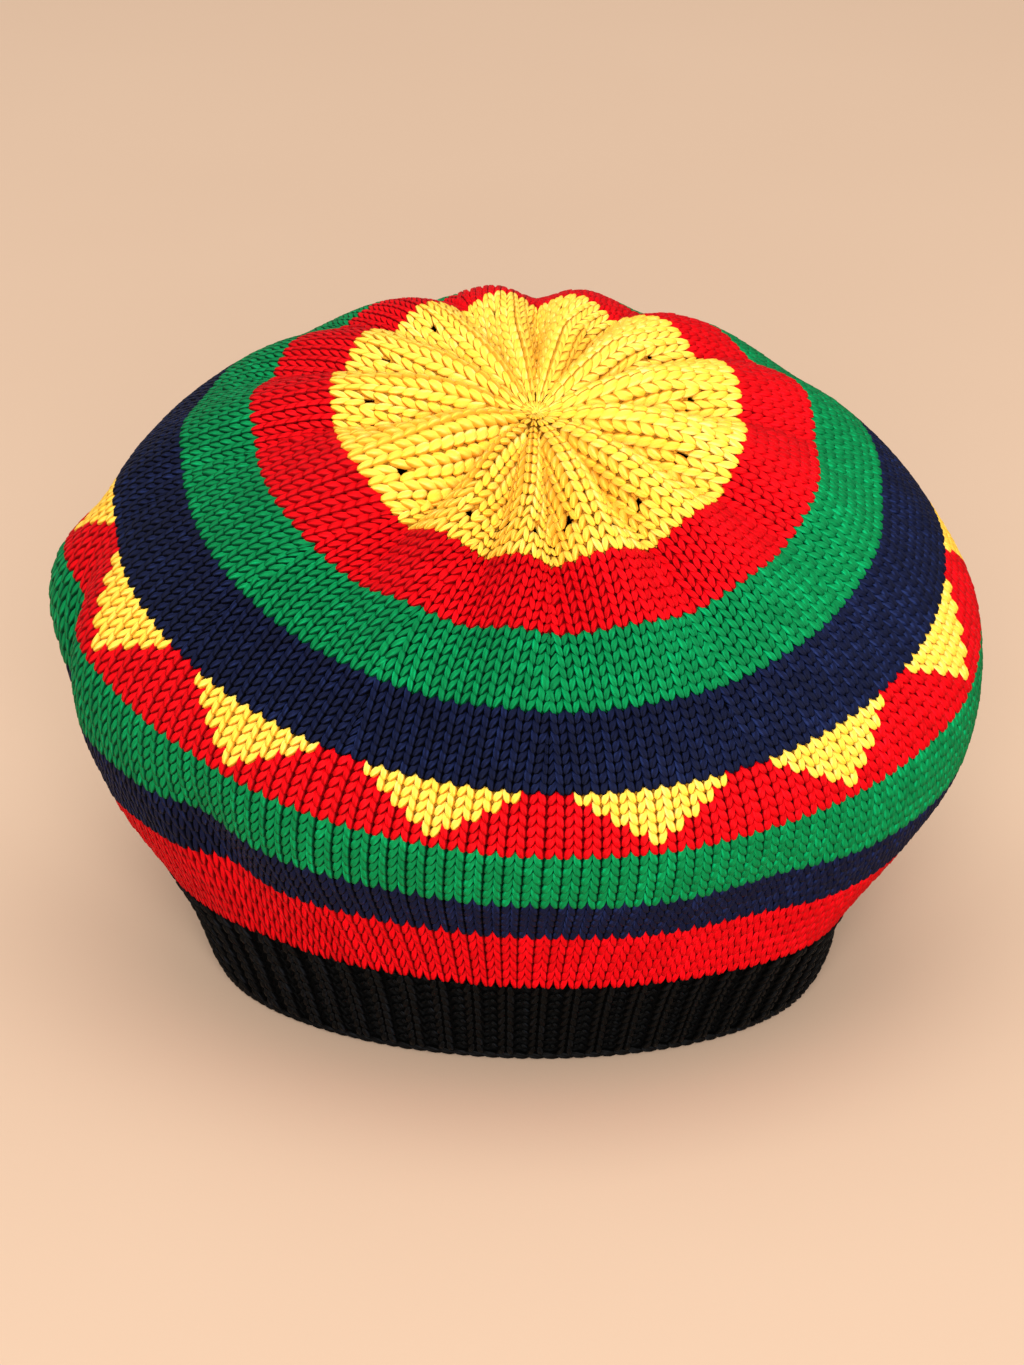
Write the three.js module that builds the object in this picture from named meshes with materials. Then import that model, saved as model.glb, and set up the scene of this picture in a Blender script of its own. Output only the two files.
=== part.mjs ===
// A slouchy striped tam, knitted in the round: a gathered yellow crown, a red, a green and
// a navy ring, a red band with yellow triangles, three rings that draw in, and a ribbed band.
// Millimetres, +Z up. The front of the hat faces -Y and its hem rests flat on z = 0.

import * as THREE from 'three';

// Driving sizes.
const crownWidth = 286;         // left to right at the widest ring
const crownDepth = 258;         // front to back at the widest ring
const crownHeight = 187;        // middle of the crown above the surface
const shoulderHeight = 127;     // widest ring above the surface, measured at the sides
const crownLean = 35;           // most that the front of a ring hangs below its sides
const sidewaysLean = 8;         // most that the right of a ring hangs below its middle
const bandTopWidth = 222;       // ribbed band where it joins the lower red ring
const bandTopDepth = 174;
const bandHeight = 35;
const hemWidth = 191;           // ribbed band where it rests on the surface
const hemDepth = 146;
const hemForward = 14.5;        // widest place of the hem, forward of that of the crown
const crownToTheRight = 7;      // middle of the crown, to the right of the middle of the hem
const bandTurn = 5;             // how far the right of the hem is turned to the front
const knitThickness = 3;        // wall of the plain knitting
const ribThickness = 3.4;       // wall of the ribbed band
const ribRelief = 1.4;          // from the top of a rib to the groove beside it
const foldDepth = 6.5;          // from the top of a gather to the bottom of the fold
const dentDepth = 7;            // deepest soft dent in the sides
const seamGap = 0.3;            // clearance between one colour and the next

// Knitting counts. Rows are counted outwards from the middle of the crown.
const folds = 13;
const stitchesPerFold = 12;
const ribsPerFold = 5;
const triangleStitches = 9;     // stitches across the top of a triangle
const triangleRows = 5;         // rows from the top of a triangle to its point
const bandRows = 10;

const colours = {
  yellow: 0xe9b92c,
  red: 0xb3141c,
  green: 0x12803c,
  navy: 0x1c2340,
  black: 0x17161a,
};

// The plain rings of the crown, from the middle outwards, with the row where each one ends.
const rings = [
  { name: 'yellow_crown', colour: 'yellow', from: 0, to: 20, cuts: 8, steps: 6 },
  { name: 'upper_red_ring', colour: 'red', from: 20, to: 27, cuts: 6, steps: 2 },
  { name: 'upper_green_ring', colour: 'green', from: 27, to: 34, cuts: 6, steps: 2 },
  { name: 'upper_navy_ring', colour: 'navy', from: 34, to: 42, cuts: 6, steps: 2 },
  { name: 'lower_green_ring', colour: 'green', from: 48, to: 54, cuts: 6, steps: 2 },
  { name: 'lower_navy_ring', colour: 'navy', from: 54, to: 59, cuts: 6, steps: 1 },
  { name: 'lower_red_ring', colour: 'red', from: 59, to: 65, cuts: 6, steps: 2 },
];
const triangleTopRow = 42;
const triangleBandEndRow = 48;
const bandTopRow = 65;
const hemRow = bandTopRow + bandRows;

// Turns a table with named columns into one object for each of its rows.
function named(columns, table) {
  return table.map((line) => Object.fromEntries(columns.map((name, k) => [name, line[k]])));
}

// Sections of the crown. width is a share of half the crown's width, front and back are
// shares of half its depth. height runs from the shoulder (0) to the middle of the crown (1).
// drop, rise and tilt are shares of the leans, right of the shift and turn of the turn.
const crownSections = named(
  ['row', 'width', 'front', 'back', 'height', 'drop', 'rise', 'tilt', 'right', 'turn'],
  [
    [0, 0, 0, 0, 1, 0, 0, 0, 0.87, 0],
    [8, 0.18, 0.21, 0.21, 1.02, 0.25, 0.13, 0.16, 0.95, 0],
    [14, 0.31, 0.37, 0.36, 1.02, 0.45, 0.23, 0.28, 1, 0],
    [20, 0.45, 0.52, 0.51, 1, 0.65, 0.32, 0.44, 1, 0],
    [27, 0.62, 0.68, 0.67, 0.88, 0.87, 0.36, 0.6, 0.93, 0],
    [34, 0.77, 0.84, 0.83, 0.69, 1, 0.32, 0.8, 0.82, 0],
    [42, 0.91, 0.98, 0.96, 0.39, 1, 0.17, 1, 0.61, 0.1],
    [48, 1, 1, 1, 0, 0.89, 0.08, 1, 0.41, 0.3],
  ],
);

// Sections below the shoulder. width, front, back and height run from the top of the
// ribbed band (0) to the shoulder (1), and forward from the crown (0) to the hem (1).
const lowerSections = named(
  ['row', 'width', 'front', 'back', 'height', 'drop', 'rise', 'tilt', 'right', 'turn', 'forward'],
  [
    [54, 0.98, 0.74, 0.91, 0.65, 0.59, 0.04, 0.88, 0.23, 0.6, 0.18],
    [59, 0.6, 0.35, 0.66, 0.35, 0.33, 0.03, 0.66, 0.14, 0.9, 0.49],
    [65, 0, 0, 0, 0, 0.09, 0.03, 0.36, 0.09, 1.1, 0.87],
  ],
);
const bandFrontShare = 0.45;    // share of the band's depth that lies before its widest place

// The gathers: where each fold lies, in degrees from the front towards the right, and
// how deep it is as a share of the fold depth.
const gathers = named(['azimuth', 'depth'], [
  [4, 0.9],
  [32, 1],
  [60, 1],
  [93, 1.1],
  [127, 1],
  [157, 0.9],
  [180, 0.85],
  [202, 0.85],
  [226, 0.9],
  [253, 1],
  [278, 1.1],
  [322, 1.1],
  [346, 0.8],
]);
const firstEvenFold = 2.2;      // azimuth of the first fold where the sections are even
const evenFoldRow = 42;         // from this row outwards the sections are evenly spaced
const gatheredRow = 22;         // up to this row they follow the gathers
const puffShare = 0.35;         // share of a gather's depth that swells above the form
const sharpUntilRow = 13;       // up to this row the folds are sharp
const softFromRow = 22;         // from this row outwards they are soft waves

// How strong the gathers are, as a share of their depth, from the middle outwards.
const gatherStrength = named(['row', 'share'], [
  [0, 0],
  [4, 0.35],
  [8, 0.85],
  [12, 1],
  [16, 0.8],
  [20, 0.5],
  [27, 0.28],
  [34, 0.14],
  [42, 0.06],
  [75, 0],
]);

// Soft dents and bulges in the sides: the middle, the reach either way in degrees and in
// rows, and the depth as a share of the dent depth, with bulges below zero.
const dents = named(['name', 'azimuth', 'row', 'across', 'along', 'depth'], [
  ['left crease', 279, 51, 5, 7, 0.9],
  ['bulge behind the crease', 264, 51, 9, 4, -0.9],
  ['bulge before the crease', 290, 49, 8, 6, -0.35],
  ['back left shoulder hollow', 257, 45, 12, 3, 0.5],
  ['lower left swell', 279, 60, 15, 5, -0.6],
  ['lower left hollow', 316, 56, 7, 6, 0.8],
  ['front left hollow', 340, 38, 12, 5, 0.25],
  ['front swell', 2, 29, 9, 4, -0.3],
  ['right front hollow', 33, 55, 10, 6, 0.4],
  ['right shoulder hollow', 84, 31, 9, 6, 0.45],
  ['right seam hollow', 84, 65, 16, 5, 0.9],
  ['right side swell', 66, 47, 12, 6, -0.3],
  ['back right hollow', 142, 50, 14, 8, 0.5],
  ['back left hollow', 214, 47, 13, 8, 0.45],
]);

const lerp = THREE.MathUtils.lerp;
const smoothstep = THREE.MathUtils.smoothstep;
const radians = THREE.MathUtils.degToRad;

// Turns both tables and the band's sizes into lengths in millimetres, one entry a section:
// half width, front and back reach, middle in x and y, height, front drop, back rise, tilt
// and turn.
function sectionLengths() {
  const leans = (s) => [
    s.drop * crownLean,
    s.rise * crownLean,
    s.tilt * sidewaysLean,
    s.turn * bandTurn,
  ];
  const frontOf = (depth) => depth * bandFrontShare;
  const backOf = (depth) => depth * (1 - bandFrontShare);
  const upper = crownSections.map((s) => [s.row, [
    s.width * crownWidth / 2,
    s.front * crownDepth / 2,
    s.back * crownDepth / 2,
    s.right * crownToTheRight,
    0,
    lerp(shoulderHeight, crownHeight, s.height),
    ...leans(s),
  ]]);
  const lower = lowerSections.map((s) => [s.row, [
    lerp(bandTopWidth, crownWidth, s.width) / 2,
    lerp(frontOf(bandTopDepth), crownDepth / 2, s.front),
    lerp(backOf(bandTopDepth), crownDepth / 2, s.back),
    s.right * crownToTheRight,
    -s.forward * hemForward,
    lerp(bandHeight, shoulderHeight, s.height),
    ...leans(s),
  ]]);
  const hem = [
    hemWidth / 2,
    frontOf(hemDepth),
    backOf(hemDepth),
    0,
    -hemForward,
    0,
    ...leans({ drop: 0, rise: 0, tilt: 0, turn: 1 }),
  ];
  return [...upper, ...lower, [hemRow, hem]];
}

const lengths = sectionLengths();
const sectionCurve = new THREE.CubicInterpolant(
  lengths.map(([row]) => row),
  lengths.flatMap(([, values]) => values),
  lengths[0][1].length,
);
const gatherCurve = new THREE.LinearInterpolant(
  gatherStrength.map((g) => g.row),
  gatherStrength.map((g) => g.share),
  1,
);

// The azimuth of a place that is `turn` sections round from the first fold.
function azimuthAt(row, turn) {
  const first = Math.floor(turn);
  const laps = Math.floor(first / folds);
  const here = gathers[first - laps * folds].azimuth;
  const next = gathers[(first + 1 - laps * folds) % folds].azimuth;
  const width = (next - here + 360) % 360;
  const gathered = laps * 360 + here + width * (turn - first);
  const even = firstEvenFold + turn * 360 / folds;
  return lerp(gathered, even, smoothstep(row, gatheredRow, evenFoldRow));
}

// The smooth form of the hat, before gathers and dents.
function formAt(row, azimuth) {
  const s = sectionCurve.evaluate(row);
  const across = Math.sin(radians(azimuth));
  const ahead = Math.cos(radians(azimuth));
  const reach = ahead > 0 ? s[1] : s[2];
  const lift = ahead > 0 ? -s[6] * ahead : -s[7] * ahead;
  return new THREE.Vector3(
    s[3] + s[0] * across,
    s[4] - reach * ahead - s[9] * across,
    s[5] + lift - s[8] * across,
  );
}

const slopeRows = 0.4;          // how far either way the slope of the form is taken, in rows
const slopeDegrees = 1;         // and in degrees

// The outward direction of the form. Towards the hem it turns level, so that the hem is flat.
function normalAt(row, azimuth) {
  const near = Math.max(row, slopeRows);
  const inner = Math.max(near - slopeRows, 0);
  const outer = Math.min(near + slopeRows, hemRow);
  const along = formAt(outer, azimuth).sub(formAt(inner, azimuth));
  const across = formAt(near, azimuth + slopeDegrees).sub(formAt(near, azimuth - slopeDegrees));
  const normal = along.cross(across);
  normal.z *= 1 - smoothstep(row, bandTopRow, hemRow);
  return normal.normalize();
}

function poleNormal() {
  const ring = [0, 90, 180, 270].map((azimuth) => normalAt(1, azimuth));
  return ring.reduce((sum, n) => sum.add(n), new THREE.Vector3()).normalize();
}

// How far the gathers lift a place. In the middle of the crown they are round on top and
// sharp in the fold, and further out they are soft waves.
function gatherAt(row, turn) {
  const whole = Math.round(turn);
  const toFold = Math.abs(turn - whole) * 2;
  const depth = gathers[((whole % folds) + folds) % folds].depth;
  const sharp = (1 - toFold) ** 2;
  const soft = (1 + Math.cos(Math.PI * toFold)) / 2;
  const fold = lerp(sharp, soft, smoothstep(row, sharpUntilRow, softFromRow));
  return foldDepth * depth * gatherCurve.evaluate(row)[0] * (puffShare - fold);
}

function dentAt(row, azimuth) {
  let total = 0;
  for (const dent of dents) {
    const turned = ((azimuth - dent.azimuth) % 360 + 540) % 360 - 180;
    const away = (turned / dent.across) ** 2 + ((row - dent.row) / dent.along) ** 2;
    total += dentDepth * dent.depth * Math.exp(-away);
  }
  return total;
}

// A place on the knitting: row and turn say where, and lift is how far outside the
// outer face it lies.
function knitAt(row, turn, lift) {
  const azimuth = azimuthAt(row, turn);
  const normal = row === 0 ? poleNormal() : normalAt(row, azimuth);
  const faded = 1 - smoothstep(row, bandTopRow, hemRow);
  const shape = gatherAt(row, turn) - dentAt(row, azimuth) * faded;
  return formAt(row, azimuth).addScaledVector(normal, shape + lift);
}

// The usual height of a row and width of a stitch, for turning the clearance between two
// colours into a part of a row, and across a triangle's slanted side into a part of a stitch.
const rowHeight = Math.hypot(crownWidth / 2, crownHeight - shoulderHeight) / triangleBandEndRow;
const stitchWidth = Math.PI * (crownWidth + crownDepth) / 2 / (folds * stitchesPerFold);
const edgeGap = seamGap / 2 / rowHeight;
const triangleRun = (triangleStitches - 1) / 2 * stitchWidth;
const slant = Math.hypot(1, triangleRun / (triangleRows * rowHeight));
const stitchGap = seamGap / 2 * slant / stitchWidth / stitchesPerFold;

// Makes a closed wall from a flat net of places and faces: the net is laid on the outer
// face and on the inner face, and every open edge of it gets a side.
function wallFromNet(places, faces, thickness, lift = () => 0) {
  const position = [];
  for (const depth of [0, thickness]) {
    for (const [row, turn] of places) {
      position.push(...knitAt(row, turn, lift(row, turn) - depth).toArray());
    }
  }
  const count = places.length;
  const index = [];
  const open = new Map();
  for (const face of faces) {
    for (let k = 1; k + 1 < face.length; k += 1) {
      index.push(face[0], face[k], face[k + 1]);
      index.push(count + face[0], count + face[k + 1], count + face[k]);
    }
    face.forEach((from, k) => {
      const to = face[(k + 1) % face.length];
      if (!open.delete(`${to} ${from}`)) open.set(`${from} ${to}`, [from, to]);
    });
  }
  for (const [from, to] of open.values()) {
    index.push(to, from, count + from);
    index.push(to, count + from, count + to);
  }
  const geometry = new THREE.BufferGeometry();
  geometry.setAttribute('position', new THREE.Float32BufferAttribute(position, 3));
  geometry.setIndex(index);
  geometry.computeVertexNormals();
  return geometry;
}

// The net of a plain ring, or of a disc when it starts in the middle of the crown.
function ringNet(from, to, cuts, steps) {
  const phase = from < triangleTopRow ? 0 : 0.5 / cuts;
  const around = folds * cuts;
  const start = from === 0 ? 0 : from + edgeGap;
  const end = to === hemRow ? to : to - edgeGap;
  const places = [];
  const faces = [];
  const first = from === 0 ? 1 : 0;
  if (first) places.push([0, 0]);
  for (let i = first; i <= steps; i += 1) {
    const row = lerp(start, end, i / steps);
    for (let j = 0; j < around; j += 1) places.push([row, j / cuts + phase]);
  }
  const at = (i, j) => first + (i - first) * around + (j % around);
  for (let j = 0; j < around; j += 1) {
    if (first) faces.push([0, at(1, j), at(1, j + 1)]);
    for (let i = first; i < steps; i += 1) {
      faces.push([at(i, j), at(i + 1, j), at(i + 1, j + 1), at(i, j + 1)]);
    }
  }
  return { places, faces };
}

// Half the width of a triangle, in sections, at a row: it narrows to one stitch.
function triangleHalf(row) {
  const share = THREE.MathUtils.clamp((row - triangleTopRow) / triangleRows, 0, 1);
  return lerp(triangleStitches, 1, share) / 2 / stitchesPerFold;
}

// The net of one triangle, which hangs point down from the middle of a section.
function triangleNet(section) {
  const across = [-1, -0.5, 0, 0.5, 1];
  const levels = [triangleTopRow + edgeGap, triangleTopRow + triangleRows / 2,
    triangleTopRow + triangleRows - edgeGap];
  const places = [];
  const faces = [];
  for (const row of levels) {
    const half = triangleHalf(row) - stitchGap;
    for (const share of across) places.push([row, section + 0.5 + half * share]);
  }
  const n = across.length;
  for (let i = 0; i + 1 < levels.length; i += 1) {
    for (let j = 0; j + 1 < n; j += 1) {
      const a = i * n + j;
      faces.push([a, a + n, a + n + 1, a + 1]);
    }
  }
  return { places, faces };
}

// The net of the red band: a ring below the points and a wedge up between two triangles.
function zigzagNet() {
  const columns = 5;
  const top = triangleTopRow + edgeGap;
  const middle = triangleTopRow + triangleRows / 2;
  const point = triangleTopRow + triangleRows + edgeGap;
  const end = triangleBandEndRow - edgeGap;
  const places = [];
  const faces = [];
  const wedgeRow = (row, section) => {
    const half = triangleHalf(row) + stitchGap;
    const start = places.length;
    for (let j = 0; j <= columns; j += 1) {
      places.push([row, lerp(section + 0.5 + half, section + 1.5 - half, j / columns)]);
    }
    return start;
  };
  const pointStarts = [];
  const endStarts = [];
  for (let section = 0; section < folds; section += 1) {
    const starts = [wedgeRow(top, section), wedgeRow(middle, section), wedgeRow(point, section)];
    for (let i = 0; i < 2; i += 1) {
      for (let j = 0; j < columns; j += 1) {
        const a = starts[i] + j;
        const b = starts[i + 1] + j;
        faces.push([a, b, b + 1, a + 1]);
      }
    }
    pointStarts.push(starts[2]);
    endStarts.push(places.length);
    for (let j = 0; j <= columns; j += 1) {
      places.push([end, section + 0.5 + (j + 0.5) / (columns + 1)]);
    }
  }
  for (let section = 0; section < folds; section += 1) {
    const a = pointStarts[section];
    const b = endStarts[section];
    const nextA = pointStarts[(section + 1) % folds];
    const nextB = endStarts[(section + 1) % folds];
    for (let j = 0; j < columns; j += 1) faces.push([a + j, b + j, b + j + 1, a + j + 1]);
    faces.push([a + columns, b + columns, nextB, nextA]);
  }
  return { places, faces };
}

function knitMesh(name, colour, net, thickness, lift) {
  const material = new THREE.MeshStandardMaterial({
    color: colours[colour],
    roughness: 0.85,
    metalness: 0,
  });
  const mesh = new THREE.Mesh(wallFromNet(net.places, net.faces, thickness, lift), material);
  mesh.name = name;
  return mesh;
}

const ribStartRows = 2;         // rows below the seam over which the ribs come up
const bandSteps = 3;            // parts that the ribbed band is cut into from top to bottom

// Ribs stand out and grooves lie back by half the relief.
function ribLift(row, turn) {
  const crest = Math.floor(turn * ribsPerFold * 2) % 2 === 0 ? 1 : -1;
  return crest * ribRelief / 2 * smoothstep(row, bandTopRow, bandTopRow + ribStartRows);
}

const hat = new THREE.Group();
for (const ring of rings) {
  const net = ringNet(ring.from, ring.to, ring.cuts, ring.steps);
  hat.add(knitMesh(ring.name, ring.colour, net, knitThickness));
}
hat.add(knitMesh('red_zigzag_band', 'red', zigzagNet(), knitThickness));
for (let section = 0; section < folds; section += 1) {
  const name = `yellow_triangle_${section + 1}`;
  hat.add(knitMesh(name, 'yellow', triangleNet(section), knitThickness));
}
const ribNet = ringNet(bandTopRow, hemRow, ribsPerFold * 2, bandSteps);
hat.add(knitMesh('ribbed_headband', 'black', ribNet, ribThickness, ribLift));

// The origin lies on the surface, under the middle of the hat's outline from above.
const outline = new THREE.Box3().setFromObject(hat, true).getCenter(new THREE.Vector3());
hat.position.set(-outline.x, -outline.y, 0);

export default hat;
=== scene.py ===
# %% [markdown]
# A slouchy tam in hand-knitted stripes. The CAD model gives its form as a frame. This lesson
# dresses each stripe of it with knitted stitches, each made of two plump legs of yarn.

# %% Load the frame
import math
import bpy
import numpy as np
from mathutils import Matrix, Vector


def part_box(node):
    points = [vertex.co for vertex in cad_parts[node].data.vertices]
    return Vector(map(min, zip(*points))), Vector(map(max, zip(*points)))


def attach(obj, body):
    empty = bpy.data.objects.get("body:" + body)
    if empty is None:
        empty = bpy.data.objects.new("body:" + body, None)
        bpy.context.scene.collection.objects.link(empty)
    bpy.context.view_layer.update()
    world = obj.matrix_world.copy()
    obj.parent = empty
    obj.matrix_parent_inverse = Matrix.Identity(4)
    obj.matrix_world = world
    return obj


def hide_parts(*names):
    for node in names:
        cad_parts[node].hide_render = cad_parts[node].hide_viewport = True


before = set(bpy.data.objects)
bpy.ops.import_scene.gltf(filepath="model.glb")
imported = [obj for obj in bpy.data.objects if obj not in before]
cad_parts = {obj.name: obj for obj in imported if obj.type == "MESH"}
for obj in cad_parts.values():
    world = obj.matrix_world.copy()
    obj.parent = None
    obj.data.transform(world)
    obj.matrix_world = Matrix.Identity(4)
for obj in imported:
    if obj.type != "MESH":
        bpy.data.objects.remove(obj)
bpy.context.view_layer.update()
print("frame nodes:", len(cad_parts))

# %% [markdown]
# Knitting follows the form of the hat, so the script needs the same form as the CAD model.
# The sizes and the tables of sections are repeated here in millimetres, as a knitter would
# copy a schema, and every stitch takes its place from them. A few values differ from the CAD
# model on purpose: the pleats are deeper and stay sharp further out, the folds even out
# sooner, and the middle of the crown is drawn in.

# %% Sizes of the hat
MM = 0.001
CROWN_WIDTH, CROWN_DEPTH = 286, 258
CROWN_HEIGHT, SHOULDER_HEIGHT = 187, 127
CROWN_LEAN, SIDEWAYS_LEAN = 35, 8
BAND_TOP_WIDTH, BAND_TOP_DEPTH, BAND_HEIGHT = 222, 174, 35
HEM_WIDTH, HEM_DEPTH, HEM_FORWARD = 191, 146, 14.5
CROWN_TO_THE_RIGHT, BAND_TURN = 7, 5
KNIT_THICKNESS, RIB_THICKNESS, RIB_RELIEF = 3, 3.4, 1.4
FOLD_DEPTH, DENT_DEPTH = 6.5, 7
BAND_FRONT_SHARE = 0.45
FOLDS, STITCHES_PER_FOLD, RIBS_PER_FOLD = 13, 12, 5
TRIANGLE_TOP_ROW, TRIANGLE_BAND_END_ROW, BAND_TOP_ROW, HEM_ROW = 42, 48, 65, 75
TRIANGLE_HALF = 4
# Where the folds stop being gathered and where they are even.
GATHERED_ROW, EVEN_FOLD_ROW, FIRST_EVEN_FOLD = 11, 33, 2.2
# The pleats: how far they puff out between the folds, where they turn from sharp to soft, and
# by what share they are deeper here, between which rows that grows and fades.
PUFF_SHARE, SHARP_UNTIL_ROW, SOFT_FROM_ROW = 0.35, 13, 38
PLEAT_SHARE, PLEATS_GROW, PLEATS_FADE = 1.15, (2, 6), (22, 38)

# Columns: row, width, front, back, height, drop, rise, tilt, right, turn.
CROWN_SECTIONS = [
    (0, 0, 0, 0, 1, 0, 0, 0, 0.87, 0),
    (8, 0.18, 0.21, 0.21, 1.02, 0.25, 0.13, 0.16, 0.95, 0),
    (14, 0.31, 0.37, 0.36, 1.02, 0.45, 0.23, 0.28, 1, 0),
    (20, 0.45, 0.52, 0.51, 1, 0.65, 0.32, 0.44, 1, 0),
    (27, 0.62, 0.68, 0.67, 0.88, 0.87, 0.36, 0.6, 0.93, 0),
    (34, 0.77, 0.84, 0.83, 0.69, 1, 0.32, 0.8, 0.82, 0),
    (42, 0.91, 0.98, 0.96, 0.39, 1, 0.17, 1, 0.61, 0.1),
    (48, 1, 1, 1, 0, 0.89, 0.08, 1, 0.41, 0.3),
]
# The same columns, and forward as the last.
LOWER_SECTIONS = [
    (54, 0.98, 0.74, 0.91, 0.65, 0.59, 0.04, 0.88, 0.23, 0.6, 0.18),
    (59, 0.6, 0.35, 0.66, 0.35, 0.33, 0.03, 0.66, 0.14, 0.9, 0.49),
    (65, 0, 0, 0, 0, 0.09, 0.03, 0.36, 0.09, 1.1, 0.87),
]
# Columns: azimuth of the fold, depth.
GATHERS = [(4, 0.9), (32, 1), (60, 1), (93, 1.1), (127, 1), (157, 0.9), (180, 0.85),
           (202, 0.85), (226, 0.9), (253, 1), (278, 1.1), (322, 1.1), (346, 0.8)]
# Columns: row, share.
GATHER_STRENGTH = [(0, 0), (4, 0.35), (8, 0.85), (12, 1), (16, 0.8), (20, 0.5), (27, 0.36),
                   (34, 0.2), (42, 0.06), (75, 0)]
# Columns: azimuth, row, across, along, depth. The first one draws in the middle of the crown.
DENTS = [
    (0, 0, 999, 3.5, 0.3),
    (279, 51, 5, 7, 0.9), (264, 51, 9, 4, -0.9), (290, 49, 8, 6, -0.35),
    (257, 45, 12, 3, 0.5), (279, 60, 15, 5, -0.6), (316, 56, 7, 6, 0.8),
    (340, 38, 12, 5, 0.25), (2, 29, 9, 4, -0.3), (33, 55, 10, 6, 0.4),
    (84, 31, 9, 6, 0.45), (84, 65, 16, 5, 0.9), (66, 47, 12, 6, -0.3),
    (142, 50, 14, 8, 0.5), (214, 47, 13, 8, 0.45),
]
print("sections:", len(CROWN_SECTIONS) + len(LOWER_SECTIONS) + 1, "folds:", len(GATHERS))

# %% [markdown]
# The form is a stack of ovals, one a row, joined by a smooth cubic curve. Each function takes
# whole arrays of places at once, because there are thousands of stitches to seat.

# %% The form as functions


def mix(a, b, share):
    return a + (b - a) * share


def smooth(value, low, high):
    share = np.clip((np.asarray(value, float) - low) / (high - low), 0, 1)
    return share * share * (3 - 2 * share)


def section_lengths():
    """Rows and the ten lengths of each section: reaches, middle, height, leans and turn."""
    rows, values = [], []
    for row, width, front, back, height, drop, rise, tilt, right, turn in CROWN_SECTIONS:
        rows.append(row)
        values.append([width * CROWN_WIDTH / 2, front * CROWN_DEPTH / 2, back * CROWN_DEPTH / 2,
                       right * CROWN_TO_THE_RIGHT, 0, mix(SHOULDER_HEIGHT, CROWN_HEIGHT, height),
                       drop * CROWN_LEAN, rise * CROWN_LEAN, tilt * SIDEWAYS_LEAN,
                       turn * BAND_TURN])
    near, far = BAND_FRONT_SHARE, 1 - BAND_FRONT_SHARE
    for (row, width, front, back, height, drop, rise, tilt, right, turn,
         forward) in LOWER_SECTIONS:
        rows.append(row)
        values.append([mix(BAND_TOP_WIDTH, CROWN_WIDTH, width) / 2,
                       mix(BAND_TOP_DEPTH * near, CROWN_DEPTH / 2, front),
                       mix(BAND_TOP_DEPTH * far, CROWN_DEPTH / 2, back),
                       right * CROWN_TO_THE_RIGHT, -forward * HEM_FORWARD,
                       mix(BAND_HEIGHT, SHOULDER_HEIGHT, height),
                       drop * CROWN_LEAN, rise * CROWN_LEAN, tilt * SIDEWAYS_LEAN,
                       turn * BAND_TURN])
    rows.append(HEM_ROW)
    values.append([HEM_WIDTH / 2, HEM_DEPTH * near, HEM_DEPTH * far, 0, -HEM_FORWARD, 0,
                   0, 0, 0, BAND_TURN])
    return np.array(rows, float), np.array(values, float)


SECTION_ROWS, SECTION_VALUES = section_lengths()


def section_at(row):
    """The ten lengths at any row, on a cubic curve with straight ends."""
    row = np.asarray(row, float)
    last = len(SECTION_ROWS) - 1
    i1 = np.clip(np.searchsorted(SECTION_ROWS, row, side="right"), 1, last)
    t0, t1 = SECTION_ROWS[i1 - 1], SECTION_ROWS[i1]
    before = np.where(i1 >= 2, i1 - 2, i1)
    after = np.where(i1 < last, i1 + 1, i1 - 1)
    half = (t1 - t0) / 2
    wp = (half / (t0 - SECTION_ROWS[before]))[..., None]
    wn = (half / (SECTION_ROWS[after] - t1))[..., None]
    p = ((row - t0) / (t1 - t0))[..., None]
    sp = -wp * p**3 + 2 * wp * p**2 - wp * p
    s0 = (1 + wp) * p**3 + (-1.5 - 2 * wp) * p**2 + (-0.5 + wp) * p + 1
    s1 = (-1 - wn) * p**3 + (1.5 + wn) * p**2 + 0.5 * p
    sn = wn * p**3 - wn * p**2
    return (sp * SECTION_VALUES[before] + s0 * SECTION_VALUES[i1 - 1]
            + s1 * SECTION_VALUES[i1] + sn * SECTION_VALUES[after])


def azimuth_at(row, turn):
    """The azimuth of a place, whose turn counts the folds and shares of the way between."""
    first = np.floor(turn).astype(int)
    fold = np.array([g[0] for g in GATHERS], float)
    here = fold[first % FOLDS]
    width = (fold[(first + 1) % FOLDS] - here) % 360
    gathered = (first // FOLDS) * 360 + here + width * (turn - first)
    even = FIRST_EVEN_FOLD + turn * 360 / FOLDS
    return mix(gathered, even, smooth(row, GATHERED_ROW, EVEN_FOLD_ROW))


def form_at(row, azimuth):
    """A place on the plain form, without its folds and dents."""
    s = section_at(row)
    across, ahead = np.sin(np.radians(azimuth)), np.cos(np.radians(azimuth))
    reach = np.where(ahead > 0, s[..., 1], s[..., 2])
    lift = np.where(ahead > 0, -s[..., 6] * ahead, -s[..., 7] * ahead)
    return np.stack([s[..., 3] + s[..., 0] * across,
                     s[..., 4] - reach * ahead - s[..., 9] * across,
                     s[..., 5] + lift - s[..., 8] * across], axis=-1)


def unit(vector):
    return vector / np.maximum(np.linalg.norm(vector, axis=-1, keepdims=True), 1e-9)


STEP_ROWS, STEP_DEGREES = 0.4, 1


def normal_at(row, azimuth):
    """The outward direction of the plain form."""
    near = np.maximum(row, STEP_ROWS)
    along = (form_at(np.minimum(near + STEP_ROWS, HEM_ROW), azimuth)
             - form_at(near - STEP_ROWS, azimuth))
    across = form_at(near, azimuth + STEP_DEGREES) - form_at(near, azimuth - STEP_DEGREES)
    normal = np.cross(along, across)
    normal[..., 2] *= 1 - smooth(row, BAND_TOP_ROW, HEM_ROW)
    return unit(normal)


POLE_NORMAL = unit(sum(normal_at(np.array(1.0), np.array(float(a))) for a in (0, 90, 180, 270)))


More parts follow.
